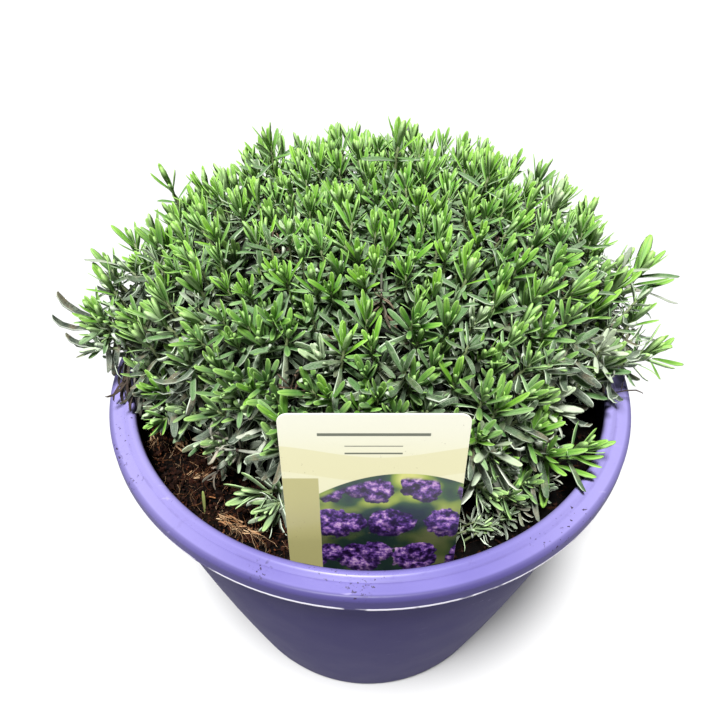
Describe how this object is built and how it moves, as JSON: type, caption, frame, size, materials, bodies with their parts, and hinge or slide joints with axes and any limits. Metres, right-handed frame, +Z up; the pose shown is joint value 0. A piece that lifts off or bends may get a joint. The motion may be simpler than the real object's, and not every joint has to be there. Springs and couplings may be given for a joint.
{
  "type": "potted lavender",
  "caption": "Round tapered plastic planter with a rolled rim, filled with potting soil, holding a bushy lavender plant not yet in flower and an upright plant label.",
  "frame": {"origin": "centre of the planter's flat base", "axes": "+Z up, -Y towards the front, where the plant label stands, +X to the right seen from the front"},
  "size_m": [0.2937, 0.2762, 0.3163],
  "materials": {
    "planter_plastic": "satin moulded plastic, lavender blue",
    "potting_soil": "moist crumbly peat and coir mix",
    "label_card": "printed laminated label card",
    "bark": "rough young bark",
    "foliage_top": "fresh green leaves, softly matt",
    "foliage_middle": "green leaves, softly matt",
    "foliage_lower": "older grey-green leaves, softly matt"
  },
  "bodies": {
    "root": {"pot": "planter_plastic", "potting_soil": "potting_soil", "plant_label": "label_card", "woody_crown": "bark", "leafy_branch_01": "foliage_top", "leafy_branch_02": "foliage_top", "leafy_branch_03": "foliage_top", "leafy_branch_04": "foliage_top", "leafy_branch_05": "foliage_top", "leafy_branch_06": "foliage_top", "leafy_branch_07": "foliage_middle", "leafy_branch_08": "foliage_middle", "leafy_branch_09": "foliage_middle", "leafy_branch_10": "foliage_middle", "leafy_branch_11": "foliage_middle", "leafy_branch_12": "foliage_middle", "leafy_branch_13": "foliage_middle", "leafy_branch_14": "foliage_middle", "leafy_branch_15": "foliage_lower", "leafy_branch_16": "foliage_lower", "leafy_branch_17": "foliage_lower", "leafy_branch_18": "foliage_lower", "leafy_branch_19": "foliage_lower", "leafy_branch_20": "foliage_lower", "leafy_branch_21": "foliage_lower", "leafy_branch_22": "foliage_lower", "leafy_branch_23": "foliage_lower", "leafy_branch_24": "foliage_lower", "leafy_branch_25": "foliage_lower", "leafy_branch_26": "foliage_lower"}
  },
  "joints": []
}
